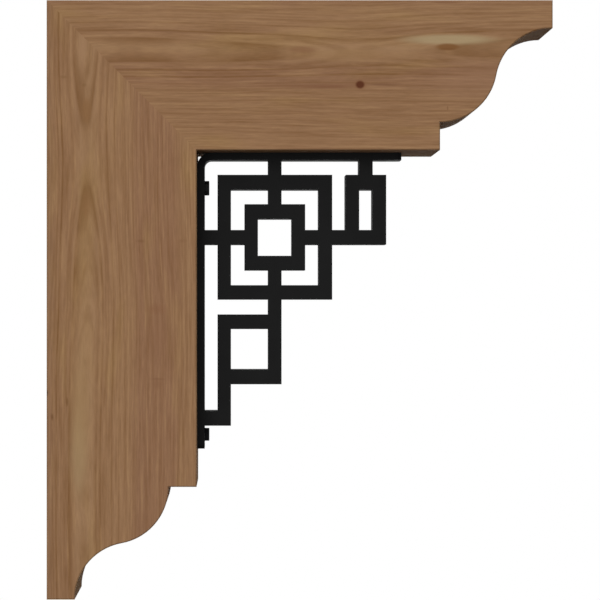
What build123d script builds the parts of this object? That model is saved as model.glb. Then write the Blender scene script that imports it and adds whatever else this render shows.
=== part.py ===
from build123d import *
from math import radians, sqrt, tan
import os

# A timber wall bracket. Two legs of square timber meet in a mitre at the top outer corner, and each
# ends in a step and an ogee scroll. A bent steel strap lies in the inner corner and carries a fret
# of flat bars, cut to length, welded and ground flush.
# X runs out from the wall, Y across the width and Z up. The origin is where the wall face meets the
# top face, at mid-width. All sizes are in millimetres.

# Timber legs
timber_width = 139.7
timber_depth = 139.7
post_height = 558.8
beam_length = 471.7
tip_thickness = 26.0
step_height = 26.0
ogee_run = 105.0
arris_chamfer = 1.0

# Dowels across the mitre, two along it and two across the width
dowel_diameter = 16.0
dowel_length = 76.0
dowel_spacing_along = 66.0
dowel_spacing_across = 70.0
dowel_fit = 0.05
dowel_end_space = 0.5
dowel_end_chamfer = 1.5

# Strap in the inner corner
strap_width = 40.0
strap_thickness = 7.0
strap_reach = 193.8
strap_drop = 280.9
strap_inside_bend = 6.5
strap_corner_radius = 4.5

# Fret of flat bars, with the clear spaces between neighbouring bars
fret_width = 40.0
upright_bar = 12.7
level_bar = 13.8
upright_gap = 12.9
level_gap = 14.05
strap_gap_at_post = 12.3
strap_gap_at_beam = 14.15
window_width = 32.1
window_height = 35.1
side_loop_opening = 12.9
foot_gap = 25.5

# Bolts through the post, with washers in counterbores at the wall face and nuts on the strap
bolt_diameter = 6.35
bolt_hole_clearance = 0.4
bolt_head_across_flats = 11.1
bolt_head_height = 4.4
bolt_end_recess = 0.6
bolt_end_chamfer = 0.8
upper_bolt_drop = 33.2
lower_bolt_edge = 13.0
nut_across_flats = 12.0
nut_height = 4.4
nut_turns = {"upper": 30.0, "lower": 0.0}
hexagon_chamfer = 0.7
thread_fit = 0.05
washer_diameter = 16.0
washer_thickness = 1.6
counterbore_diameter = 20.0
counterbore_depth = 12.7

# Countersunk screws through the strap into the beam
screw_diameter = 5.5
screw_length = 50.8
screw_point_length = 6.0
screw_head_diameter = 11.1
screw_head_angle = 82.0
screw_recess_size = 3.2
screw_recess_depth = 2.6
screw_spacing = 22.0
screw_edge = 7.6
screw_hole_clearance = 0.3
screw_seat_clearance = 0.1
pilot_fit = 0.05
pilot_end_space = 1.0

# Where the strap lies
strap_face_x = timber_depth + strap_thickness
strap_face_z = -timber_depth - strap_thickness
strap_end_x = timber_depth + strap_reach
strap_end_z = -timber_depth - strap_drop

# Where the fret's frames and loops lie, from the strap outwards and downwards
outer_left = strap_face_x + strap_gap_at_post
inner_left = outer_left + upright_bar + upright_gap
inner_right = inner_left + window_width + 2 * upright_bar
outer_right = inner_right + upright_gap + upright_bar
outer_top = strap_face_z - strap_gap_at_beam
inner_top = outer_top - level_bar - level_gap
inner_bottom = inner_top - window_height - 2 * level_bar
outer_bottom = inner_bottom - level_gap - level_bar
stem_left = (outer_left + outer_right - upright_bar) / 2
spoke_bottom = (outer_top + outer_bottom - level_bar) / 2
loop_height = outer_top - spoke_bottom
side_left = outer_right + upright_gap
side_right = side_left + side_loop_opening + 2 * upright_bar
side_stem_left = (side_left + side_right - upright_bar) / 2
lower_top = outer_bottom - level_gap
lower_bottom = lower_top - loop_height
foot_top = lower_bottom - foot_gap
foot_bottom = foot_top - level_bar

# Where the fasteners lie
bolt_heights = {"upper": -timber_depth - upper_bolt_drop, "lower": strap_end_z + lower_bolt_edge}
bolt_hole_diameter = bolt_diameter + 2 * bolt_hole_clearance
screw_x = strap_end_x - screw_edge
screw_rows = {"front": -screw_spacing / 2, "rear": screw_spacing / 2}


def leg(length):
    """A level leg from the mitre to its scrolled end, with its arrises eased by a chamfer."""
    step_x = length - ogee_run
    step_z = step_height - timber_depth
    ogee_middle = (length - ogee_run / 2, (step_z - tip_thickness) / 2)
    mitre_direction = Vector(1, 0, -1).normalized()
    with BuildPart() as timber:
        with BuildSketch(Plane.XZ):
            with BuildLine():
                Polyline((0, 0), (length, 0), (length, -tip_thickness))
                hollow = TangentArc((length, -tip_thickness), ogee_middle, tangent=(-1, 0))
                TangentArc(ogee_middle, (step_x, step_z), tangent=hollow % 1)
                Polyline((step_x, step_z), (step_x, -timber_depth), (timber_depth, -timber_depth), (0, 0))
            make_face()
        extrude(amount=timber_width / 2, both=True)
        outlines = timber.faces().filter_by(Axis.Y).edges()
        arrises = outlines.filter_by(lambda edge: abs(edge.tangent_at(0.5).dot(mitre_direction)) < 0.999)
        chamfer(arrises, length=arris_chamfer)
    return timber.part


def rod(diameter, length):
    """A round rod along Z from the origin."""
    return Cylinder(diameter / 2, length, align=(Align.CENTER, Align.CENTER, Align.MIN))


def mitre_plane():
    """The plane of the mitre, centred on it, with X across the width and Z out of the post's side."""
    middle = (timber_depth / 2, 0, -timber_depth / 2)
    return Plane(origin=middle, x_dir=(0, 1, 0), z_dir=(1, 0, 1))


def dowel_places():
    """Where the dowels' centres are, square to the mitre."""
    grid = GridLocations(dowel_spacing_across, dowel_spacing_along, 2, 2)
    return [mitre_plane().location * place for place in grid]


def dowel_holes():
    """The blind holes for the dowels, on both sides of the mitre."""
    hole = Cylinder(dowel_diameter / 2 + dowel_fit, dowel_length + 2 * dowel_end_space)
    return [place * hole for place in dowel_places()]


def dowel(place):
    """A straight dowel with chamfered ends."""
    pin = Cylinder(dowel_diameter / 2, dowel_length)
    return place * chamfer(pin.edges().filter_by(GeomType.CIRCLE), dowel_end_chamfer)


def outward(x, z):
    """A place on the bracket's mid-plane whose Z runs out from the wall."""
    return Plane(origin=(x, 0, z), x_dir=(0, 1, 0), z_dir=(1, 0, 0)).location


def wall_post():
    """The upright leg, with its dowel holes and the bolts' holes and counterbores."""
    post = mirror(leg(post_height), about=mitre_plane()) - dowel_holes()
    for z in bolt_heights.values():
        post -= outward(0, z) * rod(bolt_hole_diameter, timber_depth)
        post -= outward(0, z) * rod(counterbore_diameter, counterbore_depth)
    return post


def beam_arm():
    """The level leg, with its dowel holes and the screws' pilot holes."""
    beam = leg(beam_length) - dowel_holes()
    pilot = rod(screw_diameter + 2 * pilot_fit, screw_length - strap_thickness + pilot_end_space)
    for y in screw_rows.values():
        beam -= Pos(screw_x, y, -timber_depth) * pilot
    return beam


def corner_strap():
    """A flat bar bent to a right angle, with rounded ends, bolt holes and countersunk holes."""
    with BuildPart() as strap:
        with BuildSketch(Plane.XZ):
            with BuildLine():
                timber_side = FilletPolyline(
                    (timber_depth, strap_end_z),
                    (timber_depth, -timber_depth),
                    (strap_end_x, -timber_depth),
                    radius=strap_inside_bend + strap_thickness,
                )
                fret_side = FilletPolyline(
                    (strap_end_x, strap_face_z),
                    (strap_face_x, strap_face_z),
                    (strap_face_x, strap_end_z),
                    radius=strap_inside_bend,
                )
                Line(timber_side @ 1, fret_side @ 0)
                Line(fret_side @ 1, timber_side @ 0)
            make_face()
        extrude(amount=strap_width / 2, both=True)
        corners = strap.faces().sort_by(Axis.X)[-1].edges().filter_by(Axis.Z)
        corners += strap.faces().sort_by(Axis.Z)[0].edges().filter_by(Axis.X)
        fillet(corners, radius=strap_corner_radius)
        with Locations([outward(strap_face_x, z) for z in bolt_heights.values()]):
            Hole(bolt_hole_diameter / 2, depth=strap_thickness)
        with Locations([Pos(screw_x, y, strap_face_z) * Rot(X=180) for y in screw_rows.values()]):
            CounterSinkHole(
                radius=screw_diameter / 2 + screw_hole_clearance,
                counter_sink_radius=screw_head_diameter / 2 + screw_seat_clearance,
                depth=strap_thickness,
                counter_sink_angle=screw_head_angle,
            )
    return strap.part


def flat_bar(left, right, bottom, top):
    """A cut length of flat bar between the given sides in the front view, centred on the width."""
    with BuildPart() as bar:
        with BuildSketch(Plane.XZ):
            with Locations(((left + right) / 2, (bottom + top) / 2)):
                Rectangle(right - left, top - bottom)
        extrude(amount=fret_width / 2, both=True)
    return bar.part


def upright(left, bottom, top):
    """A bar that stands upright in the fret."""
    return flat_bar(left, left + upright_bar, bottom, top)


def level(left, right, bottom):
    """A bar that lies level in the fret."""
    return flat_bar(left, right, bottom, bottom + level_bar)


def frame_bars(name, left, right, bottom, top):
    """A frame of four bars: the uprights run its full height and the level bars fit between them."""
    return {
        f"{name}_left": upright(left, bottom, top),
        f"{name}_right": upright(right - upright_bar, bottom, top),
        f"{name}_top": level(left + upright_bar, right - upright_bar, top - level_bar),
        f"{name}_bottom": level(left + upright_bar, right - upright_bar, bottom),
    }


def fret_bars():
    """Every bar of the fret, by name."""
    bars = frame_bars("outer_frame", outer_left, outer_right, outer_bottom, outer_top)
    bars |= frame_bars("inner_frame", inner_left, inner_right, inner_bottom, inner_top)
    bars |= frame_bars("side_loop", side_left, side_right, spoke_bottom, outer_top)
    bars["top_stem"] = upright(stem_left, outer_top, strap_face_z)
    bars["top_spoke"] = upright(stem_left, inner_top, outer_top - level_bar)
    bars["bottom_spoke"] = upright(stem_left, outer_bottom + level_bar, inner_bottom)
    bars["side_stem"] = upright(side_stem_left, outer_top, strap_face_z)
    bars["wall_stub"] = level(strap_face_x, outer_left, spoke_bottom)
    bars["left_spoke"] = level(outer_left + upright_bar, inner_left, spoke_bottom)
    bars["right_spoke"] = level(inner_right, outer_right - upright_bar, spoke_bottom)
    bars["link_bar"] = level(outer_right, side_left, spoke_bottom)
    bars["lower_loop_leg"] = upright(outer_left, foot_bottom, lower_top)
    bars["lower_loop_tail"] = upright(stem_left, lower_bottom, outer_bottom)
    bars["lower_loop_top"] = level(outer_left + upright_bar, stem_left, lower_top - level_bar)
    bars["lower_loop_bottom"] = level(outer_left + upright_bar, stem_left, lower_bottom)
    bars["foot_stub"] = level(strap_face_x, outer_left, foot_bottom)
    return bars


def hexagon(across_flats, height):
    """A hexagonal prism along Z from the origin, with the corners of its outer end chamfered."""
    with BuildPart() as prism:
        with BuildSketch():
            RegularPolygon(across_flats / 2, 6, major_radius=False)
        extrude(amount=height)
    blank = rod(2 * across_flats / sqrt(3), height)
    outer_end = blank.edges().filter_by(GeomType.CIRCLE).sort_by(Axis.Z)[-1]
    return prism.part & chamfer(outer_end, hexagon_chamfer / 2, hexagon_chamfer)


def bolt(z):
    """A hexagon-headed bolt, from the washer in its counterbore to just inside the nut's face."""
    seat_x = counterbore_depth - washer_thickness
    shank = rod(bolt_diameter, strap_face_x + nut_height - bolt_end_recess - seat_x)
    shank = chamfer(shank.edges().filter_by(GeomType.CIRCLE).sort_by(Axis.Z)[-1], bolt_end_chamfer)
    head = Rot(X=180) * hexagon(bolt_head_across_flats, bolt_head_height)
    return outward(seat_x, z) * (shank + head)


def washer(z):
    """A flat washer on the floor of the counterbore."""
    ring = rod(washer_diameter, washer_thickness) - rod(bolt_hole_diameter, washer_thickness)
    return outward(counterbore_depth - washer_thickness, z) * ring


def nut(z, turn):
    """A hexagon nut on the strap, turned about the bolt."""
    body = hexagon(nut_across_flats, nut_height) - rod(bolt_diameter + 2 * thread_fit, nut_height)
    return outward(strap_face_x, z) * Rot(Z=turn) * body


def screw(y):
    """A countersunk wood screw with a square recess, driven up through the strap into the beam."""
    head_radius = screw_head_diameter / 2
    shank_radius = screw_diameter / 2
    head_height = (head_radius - shank_radius) / tan(radians(screw_head_angle / 2))
    with BuildPart() as body:
        with BuildSketch(Plane.XZ):
            Polygon(
                (0, 0),
                (head_radius, 0),
                (shank_radius, head_height),
                (shank_radius, screw_length - screw_point_length),
                (0, screw_length),
                align=None,
            )
        revolve(axis=Axis.Z)
        Box(
            screw_recess_size,
            screw_recess_size,
            screw_recess_depth,
            align=(Align.CENTER, Align.CENTER, Align.MIN),
            mode=Mode.SUBTRACT,
        )
    return Pos(screw_x, y, strap_face_z) * body.part


pieces = {"wall_post": wall_post(), "beam_arm": beam_arm(), "corner_strap": corner_strap()}
pieces |= fret_bars()
for number, place in enumerate(dowel_places(), start=1):
    pieces[f"mitre_dowel_{number}"] = dowel(place)
for name, z in bolt_heights.items():
    pieces[f"{name}_bolt"] = bolt(z)
    pieces[f"{name}_washer"] = washer(z)
    pieces[f"{name}_nut"] = nut(z, nut_turns[name])
for name, y in screw_rows.items():
    pieces[f"{name}_screw"] = screw(y)

os.makedirs("parts", exist_ok=True)
for name, piece in pieces.items():
    export_step(piece, f"parts/{name}.step")
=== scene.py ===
"""Looks of a timber wall bracket with a welded steel fret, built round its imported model."""

import logging
import math
from dataclasses import dataclass
from enum import Enum

import bmesh
import bpy
from mathutils import Matrix, Vector


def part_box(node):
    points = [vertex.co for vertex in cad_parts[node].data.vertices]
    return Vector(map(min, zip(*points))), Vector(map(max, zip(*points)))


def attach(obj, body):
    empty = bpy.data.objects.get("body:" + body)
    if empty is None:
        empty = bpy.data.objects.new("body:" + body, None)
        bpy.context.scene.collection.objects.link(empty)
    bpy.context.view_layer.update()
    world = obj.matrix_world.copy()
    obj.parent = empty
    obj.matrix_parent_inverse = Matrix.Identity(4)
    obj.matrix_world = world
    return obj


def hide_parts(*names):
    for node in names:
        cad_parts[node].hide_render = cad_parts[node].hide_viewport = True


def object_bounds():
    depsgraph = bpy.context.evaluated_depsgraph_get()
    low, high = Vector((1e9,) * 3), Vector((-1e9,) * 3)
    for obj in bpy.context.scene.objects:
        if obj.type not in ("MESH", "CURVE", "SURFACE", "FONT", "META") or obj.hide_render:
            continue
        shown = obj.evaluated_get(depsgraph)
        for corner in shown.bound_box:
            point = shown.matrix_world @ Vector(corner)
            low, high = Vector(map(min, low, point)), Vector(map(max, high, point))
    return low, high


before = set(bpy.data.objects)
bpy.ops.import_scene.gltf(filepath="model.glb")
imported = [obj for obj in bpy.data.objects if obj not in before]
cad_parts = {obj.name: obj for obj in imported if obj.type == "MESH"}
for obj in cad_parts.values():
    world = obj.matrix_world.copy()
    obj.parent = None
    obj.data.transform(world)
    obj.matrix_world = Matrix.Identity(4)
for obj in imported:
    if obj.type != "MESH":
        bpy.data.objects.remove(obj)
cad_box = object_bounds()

log = logging.getLogger("bracket")

MM = 0.001
BODY = "root"
SHOWN_MM = 0.93187


def linear(hex_colour: str) -> tuple[float, float, float, float]:
    """Turns an sRGB hex colour to the linear colour that shaders take.

    Args:
        hex_colour: six hex digits, with or without a leading hash.

    Returns:
        Linear red, green and blue, and an alpha of 1.
    """
    digits = hex_colour.lstrip("#")
    shares = [int(digits[i : i + 2], 16) / 255 for i in (0, 2, 4)]
    red, green, blue = (c / 12.92 if c <= 0.04045 else ((c + 0.055) / 1.055) ** 2.4 for c in shares)
    return red, green, blue, 1.0


def add_node(tree: bpy.types.NodeTree, kind: str, settings: dict, inputs: dict) -> bpy.types.Node:
    """Adds a node with its settings, its inputs' values and its links.

    Args:
        tree: the node tree that the node joins.
        kind: the node's Blender type.
        settings: values of the node's own properties.
        inputs: by name or place, a value or the output socket to link.

    Returns:
        The new node.
    """
    node = tree.nodes.new(kind)
    for name, value in settings.items():
        setattr(node, name, value)
    for name, value in inputs.items():
        if isinstance(value, bpy.types.NodeSocket):
            tree.links.new(value, node.inputs[name])
        else:
            node.inputs[name].default_value = value
    return node


def new_material(name: str) -> tuple[bpy.types.Material, bpy.types.NodeTree]:
    """Makes an empty node material.

    Args:
        name: the material's name.

    Returns:
        The material and its cleared node tree.
    """
    material = bpy.data.materials.new(name)
    material.use_nodes = True
    material.node_tree.nodes.clear()
    return material, material.node_tree


def set_stops(ramp: bpy.types.ColorRamp, stops: list[tuple[float, tuple]]) -> None:
    """Gives a colour ramp its stops.

    Args:
        ramp: the ramp.
        stops: each stop's place from 0 to 1 and its linear colour, in rising order.
    """
    while len(ramp.elements) > 1:
        ramp.elements.remove(ramp.elements[-1])
    ramp.elements[0].position, ramp.elements[0].color = stops[0]
    for place, colour in stops[1:]:
        ramp.elements.new(place).color = colour


class Grain(Enum):
    """Which way a timber's grain runs: the turn and scale that bring it to length, depth and width."""

    DOWN_THE_POST = (Matrix(((0, 0, -1), (1, 0, 0), (0, -1, 0))), (1000, 1000, 1000))
    ALONG_THE_BEAM = (Matrix(((1, 0, 0), (0, 0, -1), (0, 1, 0))), (1000, -1000, 1000))


class Tone(Enum):
    """The oiled timber's few tones, from its driest heart to its palest straw."""

    UMBER = "#85654B"
    RUST = "#89664C"
    BROWN = "#8C6A4D"
    TAN = "#906E50"
    STRAW = "#967556"


class Side(Enum):
    """On which side of the figure's middle a growth line is dark."""

    OUTER = "outer"
    INNER = "inner"
    BOTH = "both"


@dataclass(frozen=True)
class GrowthLine:
    """A dark line of latewood: its ring distance in mm, how far it fades inwards, and its strength."""

    ring: float
    fade: float
    strength: float
    side: Side = Side.BOTH


@dataclass(frozen=True)
class Mark:
    """A knot, eye, streak or patch in the front face.

    Its middle and half sizes are in mm along and across the leg, and it fades within half_depth of the face.
    """

    along: float
    across: float
    half_length: float
    half_width: float
    colour: str
    strength: float
    core: float = 0.35
    half_depth: float = 40.0


@dataclass(frozen=True)
class Figure:
    """One leg's figure: where its growth rings are centred, how they rise and fall, and what marks it."""

    centre: float
    depths: tuple[tuple[float, float], ...]
    bands: tuple[tuple[float, Tone], ...]
    lines: tuple[GrowthLine, ...]
    marks: tuple[Mark, ...]


@dataclass(frozen=True)
class OiledCedar:
    """Planed cedar under a clear satin oil.

    The planer leaves it flat and the oil deepens it, so it shows soft bands of rust, brown and straw,
    thin dark lines of latewood that close into pointed arches, and hardly any gloss.
    """

    latewood: str = "#67431F"
    rust_patch: str = "#84624A"
    straw_patch: str = "#9A7A50"
    half_width_mm: float = 69.85
    reach_mm: float = 560.0
    deepest_mm: float = 40.0
    band_reach_mm: float = 190.0
    line_reach_mm: float = 90.0
    pale_grain: str = "#A98660"
    wander_mm: float = 9.0
    line_edge_mm: float = 0.7
    grain_mm: float = 2.3
    cell_length_mm: float = 9.0
    cell_width_mm: float = 1.2
    relief_mm: float = 0.12
    roughness: float = 0.68
    gloss: float = 0.02

    def build(self, name: str, grain: Grain, figure: Figure) -> bpy.types.Material:
        """Makes one leg's cedar.

        Args:
            name: the material's name.
            grain: which way the leg's grain runs.
            figure: the leg's own figure.

        Returns:
            The material.
        """
        material, tree = new_material(name)
        turn, scale = grain.value
        place = add_node(tree, "ShaderNodeTexCoord", {}, {})
        timber = add_node(
            tree,
            "ShaderNodeMapping",
            {},
            {"Vector": place.outputs["Object"], "Rotation": turn.to_euler(), "Scale": scale},
        ).outputs[0]
        parts = add_node(tree, "ShaderNodeSeparateXYZ", {}, {0: timber}).outputs

        # The grain wanders a few millimetres over a hand's length, as in any sawn timber.
        slow = self.noise(tree, timber, (1 / 210, 1 / 85, 1 / 85), detail=1.5)
        wander = add_node(
            tree,
            "ShaderNodeMath",
            {"operation": "MULTIPLY_ADD"},
            {0: slow, 1: self.wander_mm, 2: -self.wander_mm / 2},
        )
        across = add_node(
            tree, "ShaderNodeMath", {"operation": "ADD"}, {0: parts[1], 1: wander.outputs[0]}
        ).outputs[0]

        # Rings lie round a pith line in front of the face. Where it dips or rises, they close into arches.
        share = add_node(
            tree, "ShaderNodeMath", {"operation": "DIVIDE"}, {0: parts[0], 1: self.reach_mm}
        ).outputs[0]
        rise = add_node(tree, "ShaderNodeValToRGB", {}, {0: share})
        rise.color_ramp.interpolation = "B_SPLINE"
        set_stops(
            rise.color_ramp,
            [(u / self.reach_mm, (d / self.deepest_mm,) * 3 + (1.0,)) for u, d in figure.depths],
        )
        behind = add_node(
            tree, "ShaderNodeMath", {"operation": "SUBTRACT"}, {0: self.half_width_mm, 1: parts[2]}
        ).outputs[0]
        deep = add_node(
            tree,
            "ShaderNodeMath",
            {"operation": "MULTIPLY_ADD"},
            {0: rise.outputs[0], 1: self.deepest_mm, 2: behind},
        ).outputs[0]
        aside = add_node(
            tree, "ShaderNodeMath", {"operation": "SUBTRACT"}, {0: across, 1: figure.centre}
        ).outputs[0]
        pair = add_node(tree, "ShaderNodeCombineXYZ", {}, {0: aside, 1: deep}).outputs[0]
        ring = add_node(tree, "ShaderNodeVectorMath", {"operation": "LENGTH"}, {0: pair}).outputs["Value"]
        inner_side = add_node(
            tree,
            "ShaderNodeMapRange",
            {"interpolation_type": "SMOOTHSTEP"},
            {"Value": aside, "From Min": -2.0, "From Max": 2.0},
        ).outputs[0]

        # Broad bands follow the depth from the outer face, and drift towards the back of the timber.
        band = add_node(
            tree, "ShaderNodeMath", {"operation": "MULTIPLY_ADD"}, {0: behind, 1: 0.25, 2: across}
        )
        band = add_node(
            tree, "ShaderNodeMath", {"operation": "DIVIDE"}, {0: band.outputs[0], 1: self.band_reach_mm}
        ).outputs[0]
        bands = add_node(tree, "ShaderNodeValToRGB", {}, {0: band})
        bands.color_ramp.interpolation = "LINEAR"
        set_stops(
            bands.color_ramp,
            [(place / self.band_reach_mm, linear(tone.value)) for place, tone in figure.bands],
        )
        colour = bands.outputs[0]

        # Long patches drift between rust and straw.
        drift = self.noise(tree, timber, (1 / 120, 1 / 24, 1 / 40), detail=2.0)
        for low, high, patch in ((0.56, 0.78, self.rust_patch), (0.44, 0.24, self.straw_patch)):
            amount = add_node(
                tree,
                "ShaderNodeMapRange",
                {},
                {"Value": drift, "From Min": low, "From Max": high, "To Max": 0.5},
            ).outputs[0]
            colour = self.blend(tree, colour, linear(patch), amount)

        # Dark latewood lines, drawn 1 to 4 mm wide, break up and come back along the grain.
        here = add_node(
            tree, "ShaderNodeMath", {"operation": "DIVIDE"}, {0: ring, 1: self.line_reach_mm}
        ).outputs[0]
        sides = [self.line_ramp(tree, here, figure.lines, side) for side in (Side.OUTER, Side.INNER)]
        dark = add_node(
            tree, "ShaderNodeMix", {"data_type": "FLOAT"}, {0: inner_side, 2: sides[0], 3: sides[1]}
        ).outputs[0]
        ring_place = add_node(tree, "ShaderNodeCombineXYZ", {}, {0: parts[0], 1: ring, 2: 0.0}).outputs[0]
        breaks = self.noise(tree, ring_place, (1 / 55, 1 / 7, 1.0), detail=2.0)
        breaks = add_node(
            tree,
            "ShaderNodeMapRange",
            {},
            {"Value": breaks, "From Min": 0.34, "From Max": 0.56, "To Min": 0.4},
        ).outputs[0]
        dark = add_node(tree, "ShaderNodeMath", {"operation": "MULTIPLY"}, {0: dark, 1: breaks}).outputs[0]

        # Growth lines 2.3 mm apart: real cedar's are finer, and these are drawn as coarse as they show.
        fine = self.noise(tree, ring_place, (1 / 70, 1 / self.grain_mm, 1.0), detail=3.0, rough=0.62)
        faint = add_node(
            tree, "ShaderNodeMapRange", {}, {"Value": fine, "From Min": 0.48, "From Max": 0.76, "To Max": 0.5}
        ).outputs[0]
        dark = add_node(tree, "ShaderNodeMath", {"operation": "MAXIMUM"}, {0: dark, 1: faint}).outputs[0]
        colour = self.blend(tree, colour, linear(self.latewood), dark)
        pale = add_node(
            tree, "ShaderNodeMapRange", {}, {"Value": fine, "From Min": 0.47, "From Max": 0.24, "To Max": 0.5}
        ).outputs[0]
        colour = self.blend(tree, colour, linear(self.pale_grain), pale)

        # Short cell bundles, 1.2 mm by 9 mm, give the faint speckle of a planed face.
        cells = (1 / self.cell_length_mm, 1 / self.cell_width_mm, 1 / self.cell_width_mm)
        speckle = self.noise(tree, timber, cells, detail=2.0)
        speckle = add_node(
            tree,
            "ShaderNodeMapRange",
            {},
            {"Value": speckle, "From Min": 0.25, "From Max": 0.75, "To Min": 0.93, "To Max": 1.07},
        ).outputs[0]
        colour = add_node(
            tree, "ShaderNodeVectorMath", {"operation": "SCALE"}, {0: colour, "Scale": speckle}
        ).outputs[0]

        for mark in figure.marks:
            colour = self.blend(tree, colour, linear(mark.colour), self.mark_amount(tree, timber, mark))

        # The latewood stands a few hundredths of a millimetre proud of the softer wood.
        height = add_node(
            tree, "ShaderNodeMath", {"operation": "MULTIPLY_ADD"}, {0: fine, 1: -0.5, 2: dark}
        ).outputs[0]
        bump = add_node(
            tree, "ShaderNodeBump", {}, {"Strength": 0.35, "Distance": self.relief_mm * MM, "Height": height}
        ).outputs[0]
        rough = add_node(
            tree,
            "ShaderNodeMapRange",
            {},
            {"Value": dark, "To Min": self.roughness + 0.05, "To Max": self.roughness - 0.09},
        ).outputs[0]
        surface = add_node(
            tree,
            "ShaderNodeBsdfPrincipled",
            {},
            {
                "Base Color": colour,
                "Roughness": rough,
                "Normal": bump,
                "IOR": 1.45,
                "Specular IOR Level": self.gloss,
            },
        )
        add_node(tree, "ShaderNodeOutputMaterial", {}, {"Surface": surface.outputs[0]})
        return material

    def noise(
        self,
        tree: bpy.types.NodeTree,
        vector: bpy.types.NodeSocket,
        stretch: tuple[float, float, float],
        detail: float,
        rough: float = 0.5,
    ) -> bpy.types.NodeSocket:
        """Adds noise over a stretched space.

        Args:
            tree: the material's tree.
            vector: the space, in mm.
            stretch: grains to the millimetre along each axis.
            detail: how many finer layers it has.
            rough: how strong those layers are.

        Returns:
            The noise's value, about 0.2 to 0.8.
        """
        scaled = add_node(tree, "ShaderNodeVectorMath", {"operation": "MULTIPLY"}, {0: vector, 1: stretch})
        return add_node(
            tree,
            "ShaderNodeTexNoise",
            {},
            {"Vector": scaled.outputs[0], "Scale": 1.0, "Detail": detail, "Roughness": rough},
        ).outputs[0]

    def blend(
        self, tree: bpy.types.NodeTree, under: bpy.types.NodeSocket, over: tuple, amount: bpy.types.NodeSocket
    ) -> bpy.types.NodeSocket:
        """Lays a colour over another.

        Args:
            tree: the material's tree.
            under: the colour so far.
            over: the linear colour laid over it.
            amount: how much of it shows.

        Returns:
            The blended colour.
        """
        return add_node(
            tree, "ShaderNodeMix", {"data_type": "RGBA"}, {0: amount, 6: under, 7: over}
        ).outputs[2]

    def line_ramp(
        self, tree: bpy.types.NodeTree, here: bpy.types.NodeSocket, lines: tuple[GrowthLine, ...], side: Side
    ) -> bpy.types.NodeSocket:
        """Draws the growth lines of one side of the figure.

        Args:
            tree: the material's tree.
            here: the ring distance, as a share of the lines' reach.
            lines: the leg's growth lines, in rising order.
            side: the side that is drawn.

        Returns:
            How dark the latewood is, from 0 to 1.
        """
        ramp = add_node(tree, "ShaderNodeValToRGB", {}, {0: here})
        none = (0.0, 0.0, 0.0, 1.0)
        stops: list[tuple[float, tuple]] = [(0.0, none)]
        for line in lines:
            if line.side in (side, Side.BOTH):
                dark = (line.strength,) * 3 + (1.0,)
                edge = line.ring + self.line_edge_mm
                for place, shade in ((line.ring - line.fade, none), (line.ring, dark), (edge, none)):
                    stops.append((place / self.line_reach_mm, shade))
        set_stops(ramp.color_ramp, stops)
        return ramp.outputs[0]

    def mark_amount(
        self, tree: bpy.types.NodeTree, timber: bpy.types.NodeSocket, mark: Mark
    ) -> bpy.types.NodeSocket:
        """Draws the soft oval of a mark.

        Args:
            tree: the material's tree.
            timber: the timber's space, in mm.
            mark: the mark.

        Returns:
            How much of the mark shows.
        """
        inverse = (1 / mark.half_length, 1 / mark.half_width, 1 / mark.half_depth)
        shift = (
            -mark.along / mark.half_length,
            -mark.across / mark.half_width,
            -self.half_width_mm / mark.half_depth,
        )
        oval = add_node(
            tree, "ShaderNodeVectorMath", {"operation": "MULTIPLY_ADD"}, {0: timber, 1: inverse, 2: shift}
        ).outputs[0]
        far = add_node(tree, "ShaderNodeVectorMath", {"operation": "LENGTH"}, {0: oval}).outputs["Value"]
        return add_node(
            tree,
            "ShaderNodeMapRange",
            {"interpolation_type": "SMOOTHSTEP"},
            {"Value": far, "From Min": mark.core, "From Max": 1.0, "To Min": mark.strength, "To Max": 0.0},
        ).outputs[0]


@dataclass(frozen=True)
class PlainBeech:
    """Turned beech rod for the dowels: pale and even, with fine short flecks along its length."""

    body: str = "#C9A47A"
    fleck: str = "#A57C52"

    def build(self) -> bpy.types.Material:
        """Makes the beech.

        Returns:
            The beech's material.
        """
        material, tree = new_material("turned_beech")
        place = add_node(tree, "ShaderNodeTexCoord", {}, {}).outputs["Object"]
        stretched = add_node(
            tree, "ShaderNodeMapping", {}, {"Vector": place, "Scale": (700, 700, 700)}
        ).outputs[0]
        flecks = add_node(
            tree, "ShaderNodeTexNoise", {}, {"Vector": stretched, "Scale": 1.0, "Detail": 3.0}
        ).outputs[0]
        ramp = add_node(tree, "ShaderNodeValToRGB", {}, {0: flecks})
        set_stops(ramp.color_ramp, [(0.4, linear(self.body)), (0.68, linear(self.fleck))])
        surface = add_node(
            tree,
            "ShaderNodeBsdfPrincipled",
            {},
            {"Base Color": ramp.outputs[0], "Roughness": 0.6, "IOR": 1.45},
        )
        add_node(tree, "ShaderNodeOutputMaterial", {}, {"Surface": surface.outputs[0]})
        return material


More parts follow.
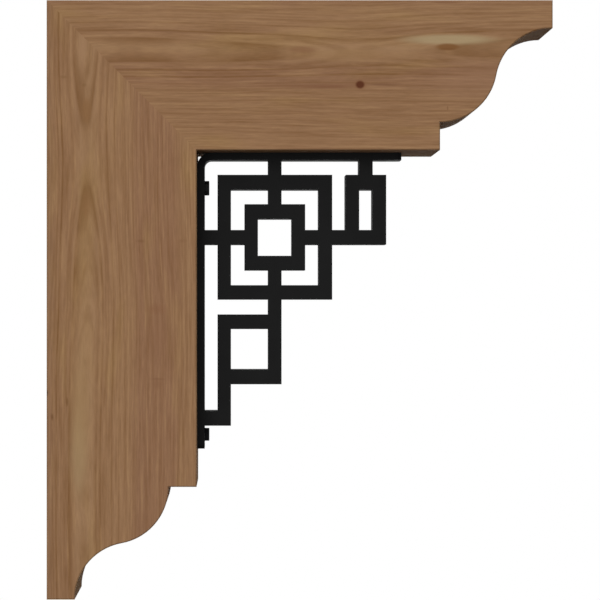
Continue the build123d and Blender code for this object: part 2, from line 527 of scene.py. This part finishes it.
@dataclass(frozen=True)
class PaintedSteel:
    """Black powder coat baked on steel: matte, with a fine orange peel and slightly worn tone."""

    name: str
    body: str
    lighter: str
    peel_mm: float
    roughness: float
    cloud_mm: float = 28.0
    peel_depth_mm: float = 0.06
    gloss: float = 0.04

    def build(self) -> bpy.types.Material:
        """Makes the coat.

        Returns:
            The coat's material.
        """
        material, tree = new_material(self.name)
        place = add_node(tree, "ShaderNodeTexCoord", {}, {}).outputs["Object"]
        in_mm = add_node(
            tree, "ShaderNodeMapping", {}, {"Vector": place, "Scale": (1000, 1000, 1000)}
        ).outputs[0]
        cloud = add_node(
            tree, "ShaderNodeTexNoise", {}, {"Vector": in_mm, "Scale": 1 / self.cloud_mm, "Detail": 3.0}
        ).outputs[0]
        tone = add_node(tree, "ShaderNodeValToRGB", {}, {0: cloud})
        set_stops(tone.color_ramp, [(0.35, linear(self.body)), (0.68, linear(self.lighter))])
        rough = add_node(
            tree,
            "ShaderNodeMapRange",
            {},
            {"Value": cloud, "To Min": self.roughness - 0.06, "To Max": self.roughness + 0.06},
        ).outputs[0]
        peel = add_node(
            tree, "ShaderNodeTexNoise", {}, {"Vector": in_mm, "Scale": 1 / self.peel_mm, "Detail": 1.0}
        ).outputs[0]
        bump = add_node(
            tree, "ShaderNodeBump", {}, {"Strength": 0.3, "Distance": self.peel_depth_mm * MM, "Height": peel}
        ).outputs[0]
        surface = add_node(
            tree,
            "ShaderNodeBsdfPrincipled",
            {},
            {
                "Base Color": tone.outputs[0],
                "Roughness": rough,
                "Normal": bump,
                "IOR": 1.5,
                "Specular IOR Level": self.gloss,
            },
        )
        add_node(tree, "ShaderNodeOutputMaterial", {}, {"Surface": surface.outputs[0]})
        return material


@dataclass(frozen=True)
class ZincPlate:
    """Bright zinc plating on the bolts and washers: grey metal, softly clouded by its passivation."""

    bright: str = "#C9CCCF"
    dull: str = "#A4A8AA"
    cloud_mm: float = 4.0

    def build(self) -> bpy.types.Material:
        """Makes the plating.

        Returns:
            The plating's material.
        """
        material, tree = new_material("zinc_plate")
        place = add_node(tree, "ShaderNodeTexCoord", {}, {}).outputs["Object"]
        in_mm = add_node(
            tree, "ShaderNodeMapping", {}, {"Vector": place, "Scale": (1000, 1000, 1000)}
        ).outputs[0]
        cloud = add_node(
            tree, "ShaderNodeTexNoise", {}, {"Vector": in_mm, "Scale": 1 / self.cloud_mm, "Detail": 4.0}
        ).outputs[0]
        tone = add_node(tree, "ShaderNodeValToRGB", {}, {0: cloud})
        set_stops(tone.color_ramp, [(0.3, linear(self.dull)), (0.7, linear(self.bright))])
        rough = add_node(
            tree, "ShaderNodeMapRange", {}, {"Value": cloud, "To Min": 0.26, "To Max": 0.46}
        ).outputs[0]
        surface = add_node(
            tree,
            "ShaderNodeBsdfPrincipled",
            {},
            {"Base Color": tone.outputs[0], "Roughness": rough, "Metallic": 1.0},
        )
        add_node(tree, "ShaderNodeOutputMaterial", {}, {"Surface": surface.outputs[0]})
        return material


def dress(node: str, material: bpy.types.Material) -> None:
    """Gives a solid of the frame its finish.

    Args:
        node: the solid's name.
        material: the finish.
    """
    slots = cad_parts[node].data.materials
    slots.clear()
    slots.append(material)


def seen(pixels: float) -> float:
    """Turns pixels of the photograph, at the timber's front face, to mm."""
    return pixels * SHOWN_MM


@dataclass
class TimberLegs:
    """The mitred post and beam, and the dowels across the mitre."""

    cedar: OiledCedar
    beech: PlainBeech
    dowels: int = 4

    def post_figure(self) -> Figure:
        """Sets out the post's figure, measured down from its top and in from its wall face.

        Returns:
            The figure, in mm.
        """
        depths = ((0, 25.6), (60, 26.4), (98, 28.2), (125, 29.0), (155, 29.5), (188, 29.0), (214, 28.1),
                  (240, 26.9), (270, 25.7), (300, 25.0), (350, 24.5), (430, 24.2), (590, 24.0))
        bands = ((0, Tone.UMBER), (9, Tone.BROWN), (21, Tone.BROWN), (27, Tone.TAN), (34, Tone.STRAW),
                 (44, Tone.STRAW), (54, Tone.TAN), (82, Tone.TAN), (93, Tone.RUST), (128, Tone.RUST),
                 (136, Tone.BROWN), (145, Tone.TAN), (160, Tone.BROWN), (175, Tone.STRAW), (190, Tone.RUST))
        lines = (
            GrowthLine(seen(27.0), 1.4, 0.55, Side.INNER),
            GrowthLine(seen(29.0), 3.4, 0.62),
            GrowthLine(seen(32.2), 1.0, 0.3),
            GrowthLine(seen(35.8), 1.3, 0.55, Side.INNER),
            GrowthLine(seen(37.9), 1.2, 0.75, Side.OUTER),
            GrowthLine(seen(40.6), 1.0, 0.45, Side.OUTER),
            GrowthLine(seen(40.8), 1.0, 0.4, Side.INNER),
            GrowthLine(seen(46.5), 1.0, 0.35, Side.INNER),
            GrowthLine(seen(55.0), 1.2, 0.35),
            GrowthLine(seen(64.0), 1.1, 0.3),
            GrowthLine(seen(79.0), 1.4, 0.35),
        )
        marks = (
            Mark(seen(50), seen(36), seen(34), seen(7), "#9C7A5C", 0.5, 0.1),
            Mark(seen(455), seen(32), seen(62), seen(12), "#9C8462", 0.5, 0.1),
            Mark(seen(410), seen(34), seen(95), seen(15), "#977A54", 0.45, 0.1),
            Mark(seen(110), seen(40), seen(17), seen(6), "#84603F", 0.6),
            Mark(seen(206), seen(40), seen(18), seen(6), "#84603F", 0.5),
            Mark(seen(309), seen(110), seen(8), seen(14), "#80593F", 0.45, 0.1),
            Mark(seen(335), seen(112), seen(40), seen(12), "#846048", 0.4, 0.1),
            Mark(seen(241), seen(94), seen(2.6), seen(6), "#6F4E33", 0.45, 0.1),
            Mark(seen(241), seen(136), seen(3), seen(8), "#7B583D", 0.3, 0.1),
            Mark(seen(384), seen(111.5), seen(8), seen(7), "#7C573F", 0.4, 0.1),
            Mark(seen(379), seen(111.5), seen(1.8), seen(11), "#734F38", 0.35, 0.1),
            Mark(seen(77), seen(17), seen(2.2), seen(6), "#70502F", 0.35, 0.1),
            Mark(seen(85), seen(37.5), seen(3), seen(3.5), "#70502F", 0.35, 0.1),
            Mark(seen(417), seen(5.5), seen(5), seen(1.8), "#614128", 0.6, 0.2, 12.0),
            Mark(seen(393), seen(0.6), seen(4), seen(1.6), "#3E2818", 0.75, 0.1, 4.0),
            Mark(seen(402), seen(20.5), seen(6), seen(1.5), "#6A4A2C", 0.55),
        )
        return self.in_mm(Figure(39.4, depths, bands, lines, marks))

    def beam_figure(self) -> Figure:
        """Sets out the beam's figure, measured out from the wall and down from its top face.

        Returns:
            The figure, in mm.
        """
        depths = ((0, 26.3), (140, 26.7), (203, 28.0), (237, 28.5), (265, 29.1), (303, 31.0),
                  (345, 30.4), (383, 29.4), (430, 28.2), (506, 27.0))
        bands = ((0, Tone.RUST), (7, Tone.TAN), (22, Tone.TAN), (31, Tone.BROWN), (38, Tone.TAN),
                 (47, Tone.STRAW), (54, Tone.TAN), (60, Tone.BROWN), (68, Tone.RUST), (82, Tone.RUST),
                 (92, Tone.BROWN), (134, Tone.BROWN), (146, Tone.TAN), (164, Tone.RUST), (176, Tone.STRAW),
                 (190, Tone.RUST))
        lines = (
            GrowthLine(seen(29.0), 3.0, 0.6),
            GrowthLine(seen(33.3), 1.3, 0.62),
            GrowthLine(seen(35.2), 0.9, 0.35, Side.INNER),
            GrowthLine(seen(37.6), 1.3, 0.7, Side.INNER),
            GrowthLine(seen(38.6), 1.0, 0.45, Side.OUTER),
            GrowthLine(seen(43.0), 1.0, 0.35),
            GrowthLine(seen(49.0), 1.0, 0.3),
            GrowthLine(seen(58.0), 1.2, 0.35, Side.INNER),
            GrowthLine(seen(70.0), 1.2, 0.3),
        )
        marks = (
            Mark(seen(403), seen(39.5), seen(62), seen(7), "#A69270", 0.75),
            Mark(seen(300), seen(55), seen(60), seen(9), "#987753", 0.4),
            Mark(seen(401), seen(46.8), seen(15), seen(4.4), "#77512F", 0.85, 0.45),
            Mark(seen(401), seen(49.0), seen(11), seen(2), "#6F4B2D", 0.5),
            Mark(seen(256), seen(49.5), seen(19), seen(4.5), "#835E43", 0.6),
            Mark(seen(280), seen(86.3), seen(52), seen(3.2), "#76503A", 0.7, 0.1),
            Mark(seen(226), seen(86), seen(60), seen(2.4), "#7C583F", 0.5, 0.1),
            Mark(seen(336), seen(84.4), seen(22), seen(1.8), "#72503A", 0.6, 0.1),
            Mark(seen(313.5), seen(84.6), seen(9), seen(7), "#7A5239", 0.6, 0.2),
            Mark(seen(313.5), seen(84.6), seen(5.6), seen(4.9), "#57301F", 0.95, 0.5),
            Mark(seen(400), seen(2.2), seen(22), seen(1.8), "#75503A", 0.6, 0.2, 6.0),
            Mark(seen(401), seen(108), seen(1.2), seen(3), "#6E4B33", 0.45),
            Mark(seen(430), seen(80), seen(70), seen(30), "#96735A", 0.35, 0.1),
        )
        return self.in_mm(Figure(50.5, depths, bands, lines, marks))

    def in_mm(self, figure: Figure) -> Figure:
        """Turns a figure's centre, depths and bands, noted in pixels of the photograph, to mm.

        Args:
            figure: the figure in pixels.

        Returns:
            The figure in mm, with its growth lines and marks as they are.
        """
        return Figure(
            seen(figure.centre),
            tuple((seen(u), seen(depth)) for u, depth in figure.depths if seen(u) <= self.cedar.reach_mm),
            tuple((seen(place), tone) for place, tone in figure.bands),
            figure.lines,
            figure.marks,
        )

    def build(self) -> list[str]:
        """Dresses the legs and the dowels.

        Returns:
            The names of what was dressed.
        """
        dress("wall_post", self.cedar.build("oiled_cedar_post", Grain.DOWN_THE_POST, self.post_figure()))
        dress("beam_arm", self.cedar.build("oiled_cedar_beam", Grain.ALONG_THE_BEAM, self.beam_figure()))
        beech = self.beech.build()
        names = [f"mitre_dowel_{number}" for number in range(1, self.dowels + 1)]
        for name in names:
            dress(name, beech)
        return ["wall_post", "beam_arm", *names]


@dataclass
class WeldedFret:
    """The fret: cut lengths of flat bar, butted, welded all round and ground flush into one piece."""

    coat: bpy.types.Material
    edge_break: float = 0.5 * MM
    edge_steps: int = 3
    snap: float = 0.01 * MM
    bars: tuple[str, ...] = (
        *(f"{ring}_{side}" for ring in ("outer_frame", "inner_frame", "side_loop")
          for side in ("left", "right", "top", "bottom")),
        "top_stem", "top_spoke", "bottom_spoke", "left_spoke", "right_spoke", "side_stem", "wall_stub",
        "link_bar", "lower_loop_leg", "lower_loop_tail", "lower_loop_top", "lower_loop_bottom", "foot_stub",
    )

    def build(self) -> bpy.types.Object:
        """Makes the fret where its bars lie.

        Returns:
            The fret.
        """
        boxes = [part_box(bar) for bar in self.bars]
        low = Vector(min(box[0][i] for box in boxes) for i in range(3))
        high = Vector(max(box[1][i] for box in boxes) for i in range(3))
        pattern = self.cut_pattern(boxes, low, high)
        bmesh.ops.solidify(pattern, geom=pattern.faces[:], thickness=high.y - low.y)
        lowest = min(v.co.y for v in pattern.verts)
        bmesh.ops.translate(pattern, verts=pattern.verts[:], vec=(0, low.y - lowest, 0))
        bmesh.ops.recalc_face_normals(pattern, faces=pattern.faces[:])
        self.break_edges(pattern, low.x, high.z)
        mesh = bpy.data.meshes.new("welded_fret")
        pattern.to_mesh(mesh)
        pattern.free()
        mesh.materials.append(self.coat)
        fret = bpy.data.objects.new("welded_fret", mesh)
        bpy.context.scene.collection.objects.link(fret)
        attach(fret, BODY)
        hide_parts(*self.bars)
        return fret

    def cut_pattern(self, boxes: list[tuple[Vector, Vector]], low: Vector, high: Vector) -> bmesh.types.BMesh:
        """Cuts the fret's front view out of one sheet.

        Args:
            boxes: each bar's lowest and highest corner.
            low: the fret's lowest corner.
            high: its highest corner.

        Returns:
            A flat mesh of the bars' front faces.
        """
        sheet = bmesh.new()
        bmesh.ops.create_grid(sheet, x_segments=1, y_segments=1, size=0.5)
        size, middle = high - low, (high + low) / 2
        upright = Matrix.Rotation(math.radians(90), 4, "X")
        fit = Matrix.Translation((middle.x, 0, middle.z)) @ Matrix.Diagonal((size.x, 1, size.z, 1)) @ upright
        bmesh.ops.transform(sheet, matrix=fit, verts=sheet.verts[:])
        for axis in (0, 2):
            cuts = sorted({round(corner[axis] / self.snap) for box in boxes for corner in box})
            normal = Vector((1, 0, 0)) if axis == 0 else Vector((0, 0, 1))
            for cut in cuts[1:-1]:
                bmesh.ops.bisect_plane(
                    sheet,
                    geom=sheet.verts[:] + sheet.edges[:] + sheet.faces[:],
                    plane_co=normal * cut * self.snap,
                    plane_no=normal,
                )
        open_faces = [
            face
            for face in sheet.faces
            if not any(
                box[0].x < face.calc_center_median().x < box[1].x
                and box[0].z < face.calc_center_median().z < box[1].z
                for box in boxes
            )
        ]
        bmesh.ops.delete(sheet, geom=open_faces, context="FACES")
        return sheet

    def break_edges(self, pattern: bmesh.types.BMesh, strap_x: float, strap_z: float) -> None:
        """Breaks the corners, apart from those welded to the strap.

        Args:
            pattern: the fret's solid.
            strap_x: where the strap's upright face lies.
            strap_z: where its level face lies.
        """
        def on_strap(edge: bmesh.types.BMEdge) -> bool:
            """Tells whether an edge lies on either face of the strap."""
            return all(abs(v.co.x - strap_x) < self.snap for v in edge.verts) or all(
                abs(v.co.z - strap_z) < self.snap for v in edge.verts
            )

        corners = [
            edge
            for edge in pattern.edges
            if edge.calc_face_angle(0.0) > math.radians(30) and not on_strap(edge)
        ]
        bmesh.ops.bevel(
            pattern,
            geom=corners,
            offset=self.edge_break,
            offset_type="OFFSET",
            segments=self.edge_steps,
            profile=0.5,
            affect="EDGES",
            material=-1,
            clamp_overlap=True,
        )


@dataclass
class Hardware:
    """The bent strap and what holds it: through bolts with nuts and washers, and two wood screws."""

    coat: bpy.types.Material
    black: bpy.types.Material
    zinc: bpy.types.Material

    def build(self) -> list[str]:
        """Dresses the strap and its fasteners.

        Returns:
            The names of what was dressed.
        """
        finishes = {
            "corner_strap": self.coat,
            "upper_nut": self.black,
            "lower_nut": self.black,
            "front_screw": self.black,
            "rear_screw": self.black,
            "upper_bolt": self.zinc,
            "lower_bolt": self.zinc,
            "upper_washer": self.zinc,
            "lower_washer": self.zinc,
        }
        for name, finish in finishes.items():
            dress(name, finish)
        return list(finishes)


@dataclass
class Studio:
    """A pale floor below the bracket, soft light from the front and above, and the camera."""

    camera_place: tuple[float, float, float] = (0.1748, -3.021, -0.2815)
    lens_mm: float = 190.0
    sensor_mm: float = 36.0
    shift_x: float = 0.1097
    shift_y: float = 0.0035
    floor_drop: float = 0.35
    floor_radius: float = 2.6
    key_place: tuple[float, float, float] = (-0.2, -3.9, 0.2)
    key_power: float = 95.0
    key_size: float = 2.6

    def build(self) -> None:
        """Sets up the camera, the light and the floor."""
        low, high = cad_box
        middle = (low + high) / 2
        self.place_camera()
        self.light_world()
        self.light_key(middle)
        self.lay_floor(middle, low.z - self.floor_drop)
        bpy.context.scene.view_settings.view_transform = "Standard"

    def place_camera(self) -> None:
        """Puts the camera where the photograph's perspective says that it stood."""
        lens = bpy.data.cameras.new("photo_camera")
        lens.lens, lens.sensor_width = self.lens_mm, self.sensor_mm
        lens.shift_x, lens.shift_y = self.shift_x, self.shift_y
        lens.clip_start, lens.clip_end = 0.05, 100.0
        camera = bpy.data.objects.new("photo_camera", lens)
        camera.location = self.camera_place
        camera.rotation_euler = (math.radians(90), 0, 0)
        bpy.context.scene.collection.objects.link(camera)
        bpy.context.scene.camera = camera

    def light_world(self) -> None:
        """Lights the room softly from above and dimly from below, and shows it white."""
        world = bpy.data.worlds.new("soft_room")
        world.use_nodes = True
        bpy.context.scene.world = world
        tree = world.node_tree
        tree.nodes.clear()
        way = add_node(tree, "ShaderNodeTexCoord", {}, {}).outputs["Generated"]
        parts = add_node(tree, "ShaderNodeSeparateXYZ", {}, {0: way}).outputs
        height = add_node(
            tree,
            "ShaderNodeMapRange",
            {"interpolation_type": "SMOOTHSTEP"},
            {"Value": parts[2], "From Min": -0.3, "From Max": 0.35, "To Min": 0.1, "To Max": 1.0},
        ).outputs[0]
        right = add_node(
            tree,
            "ShaderNodeMapRange",
            {"interpolation_type": "SMOOTHSTEP"},
            {"Value": parts[0], "From Min": -0.2, "From Max": 0.8, "To Min": 1.0, "To Max": 0.35},
        ).outputs[0]
        strength = add_node(
            tree, "ShaderNodeMath", {"operation": "MULTIPLY"}, {0: height, 1: right}
        ).outputs[0]
        soft = add_node(tree, "ShaderNodeBackground", {}, {"Color": linear("#FFFFFF"), "Strength": strength})
        white = add_node(tree, "ShaderNodeBackground", {}, {"Color": linear("#FFFFFF"), "Strength": 1.0})
        rays = add_node(tree, "ShaderNodeLightPath", {}, {}).outputs
        plain = rays["Is Camera Ray"]
        for kind in ("Is Glossy Ray", "Is Transmission Ray"):
            plain = add_node(
                tree, "ShaderNodeMath", {"operation": "MAXIMUM"}, {0: plain, 1: rays[kind]}
            ).outputs[0]
        mixed = add_node(
            tree, "ShaderNodeMixShader", {}, {0: plain, 1: soft.outputs[0], 2: white.outputs[0]}
        ).outputs[0]
        add_node(tree, "ShaderNodeOutputWorld", {}, {"Surface": mixed})

    def light_key(self, middle: Vector) -> None:
        """Hangs one large soft lamp in front, above and to the left.

        Args:
            middle: the object's middle, which the lamp faces.
        """
        lamp = bpy.data.lights.new("soft_key", "AREA")
        lamp.shape, lamp.size, lamp.energy = "DISK", self.key_size, self.key_power
        key = bpy.data.objects.new("soft_key", lamp)
        key.location = self.key_place
        key.rotation_euler = (middle - Vector(self.key_place)).to_track_quat("-Z", "Y").to_euler()
        bpy.context.scene.collection.objects.link(key)

    def lay_floor(self, middle: Vector, height: float) -> None:
        """Lays the floor, which takes the object's shadow and melts into the white room.

        Args:
            middle: the object's middle.
            height: the floor's height.
        """
        disc = bmesh.new()
        bmesh.ops.create_circle(disc, cap_ends=True, segments=96, radius=self.floor_radius)
        bmesh.ops.translate(disc, verts=disc.verts[:], vec=(middle.x, middle.y, height))
        mesh = bpy.data.meshes.new("pale_floor")
        disc.to_mesh(mesh)
        disc.free()
        material, tree = new_material("pale_floor")
        place = add_node(tree, "ShaderNodeTexCoord", {}, {}).outputs["Object"]
        centred = add_node(
            tree, "ShaderNodeMapping", {}, {"Vector": place, "Location": (-middle.x, -middle.y, -height)}
        ).outputs[0]
        far = add_node(tree, "ShaderNodeVectorMath", {"operation": "LENGTH"}, {0: centred}).outputs["Value"]
        fade = add_node(
            tree,
            "ShaderNodeMapRange",
            {"interpolation_type": "SMOOTHSTEP"},
            {"Value": far, "From Min": 0.5, "From Max": self.floor_radius * 0.95},
        ).outputs[0]
        matte = add_node(tree, "ShaderNodeBsdfDiffuse", {}, {"Color": linear("#F2F2F0")})
        glow = add_node(tree, "ShaderNodeEmission", {}, {"Color": linear("#FFFFFF"), "Strength": 1.0})
        mixed = add_node(
            tree, "ShaderNodeMixShader", {}, {0: fade, 1: matte.outputs[0], 2: glow.outputs[0]}
        ).outputs[0]
        add_node(tree, "ShaderNodeOutputMaterial", {}, {"Surface": mixed})
        mesh.materials.append(material)
        floor = bpy.data.objects.new("pale_floor", mesh)
        bpy.context.scene.collection.objects.link(floor)
        floor.visible_diffuse = False


def main() -> None:
    """Dresses the bracket piece by piece and sets up the studio."""
    logging.basicConfig(level=logging.INFO, format="%(message)s")
    coat = PaintedSteel("black_powder_coat", "#151515", "#191919", peel_mm=1.4, roughness=0.62).build()
    black = PaintedSteel("black_plating", "#141415", "#1C1C1D", peel_mm=0.8, roughness=0.5).build()
    for name in TimberLegs(OiledCedar(), PlainBeech()).build():
        log.info("dressed %s", name)
    fret = WeldedFret(coat).build()
    log.info("made %s with %d faces", fret.name, len(fret.data.polygons))
    for name in Hardware(coat, black, ZincPlate().build()).build():
        log.info("dressed %s", name)
    Studio().build()


if __name__ == "__main__":
    main()
